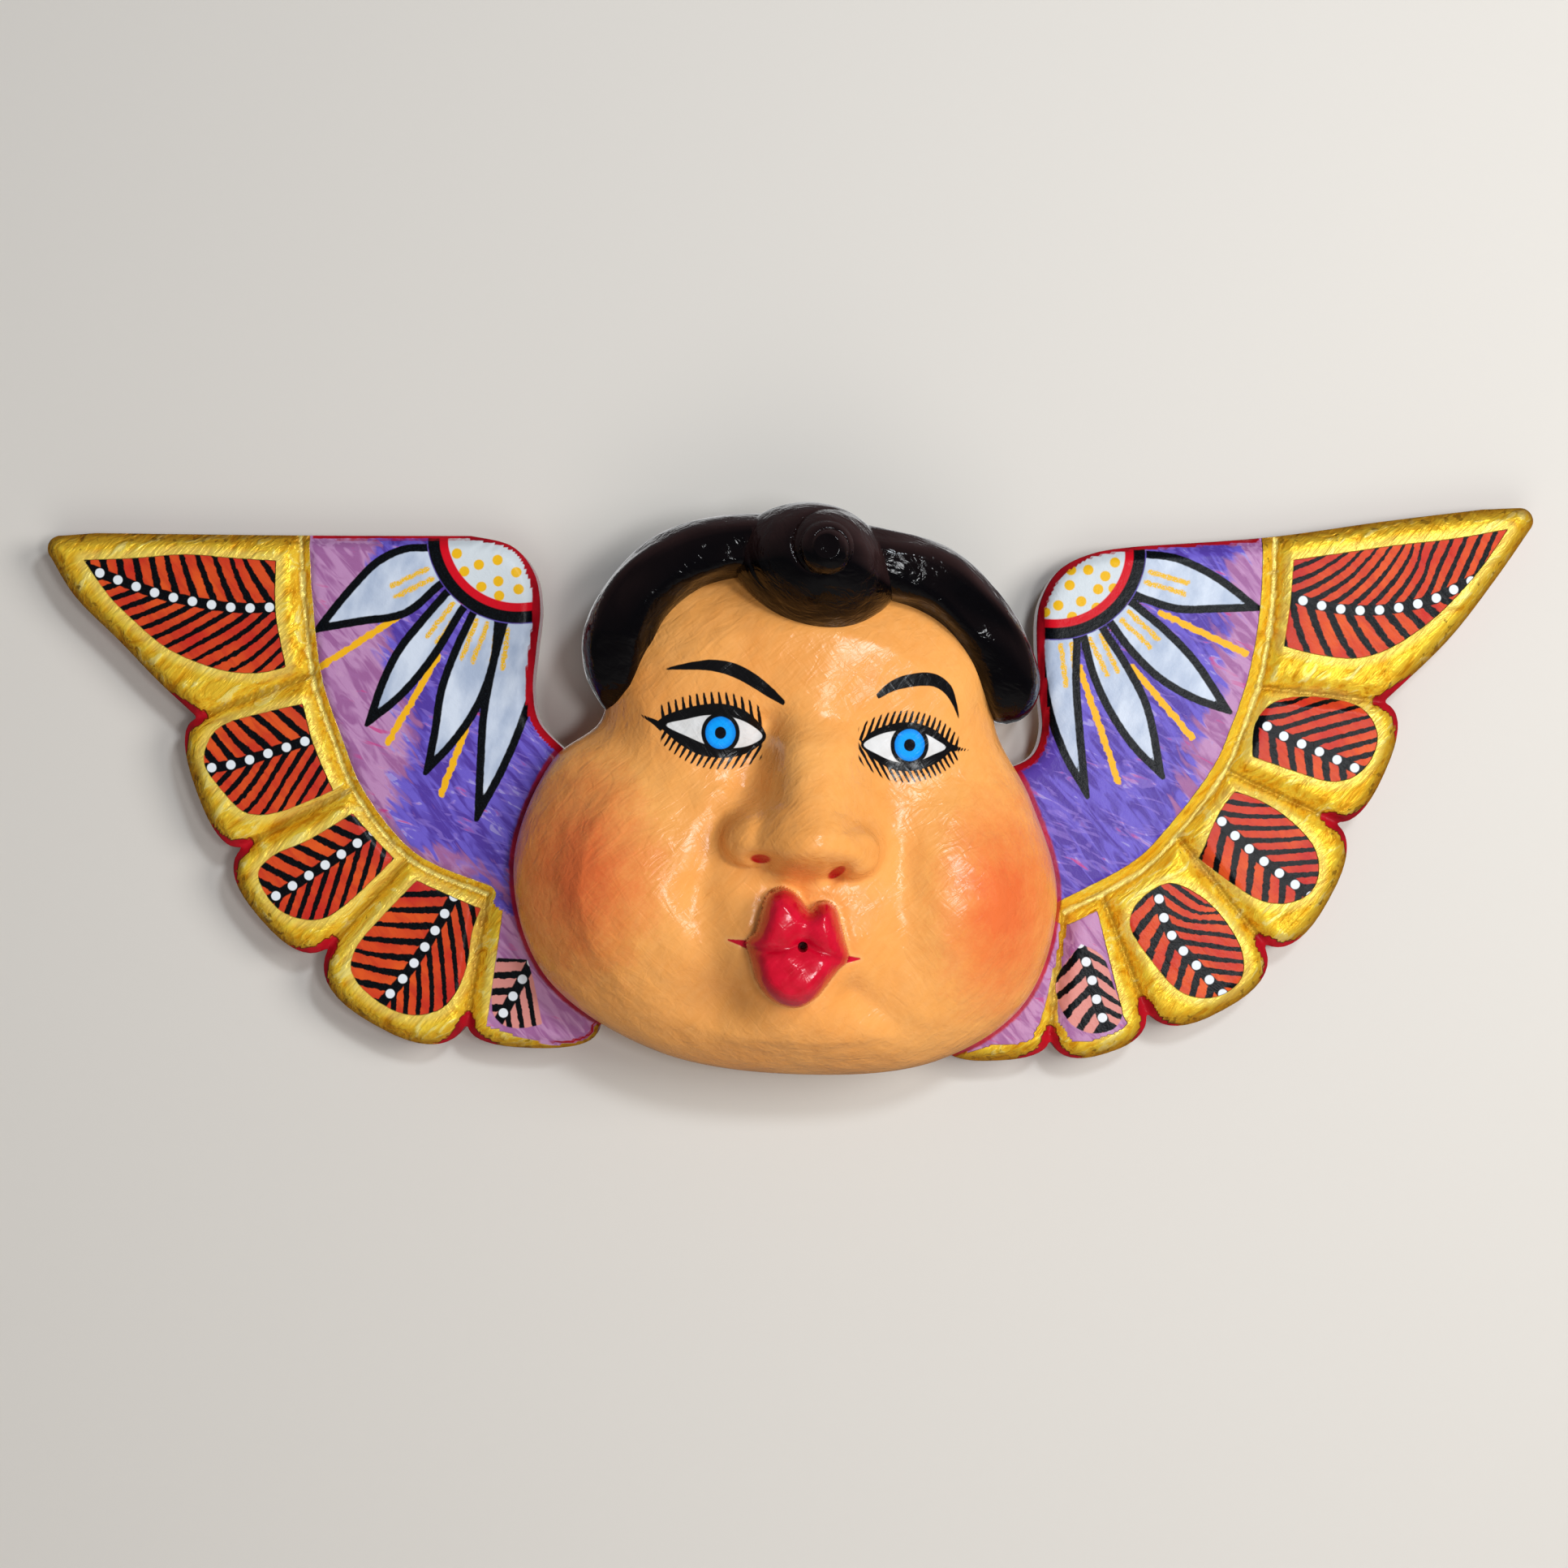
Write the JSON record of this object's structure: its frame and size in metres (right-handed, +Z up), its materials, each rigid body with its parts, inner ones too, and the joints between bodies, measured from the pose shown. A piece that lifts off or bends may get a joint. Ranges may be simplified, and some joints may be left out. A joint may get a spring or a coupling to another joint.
{
  "type": "angel mask",
  "caption": "Carved and painted wall mask: a round child's head with rolled hair and a snail curl, pursed lips, and feathered wings spread from its sides.",
  "frame": {"origin": "on the flat back of the head, behind the brow, where the mask bears on the wall", "axes": "+X to the viewer's right along the wings, +Y out of the flat back into the wall, +Z up; the face looks along -Y"},
  "size_m": [0.5612, 0.09, 0.2127],
  "materials": {
    "painted_head": "glossy oil paint over carved wood: skin, red lips, black hair",
    "painted_wings": "violet and red paint with gilt borders over carved wood"
  },
  "bodies": {
    "root": {"head": "painted_head", "left_wing": "painted_wings", "right_wing": "painted_wings"}
  },
  "joints": []
}
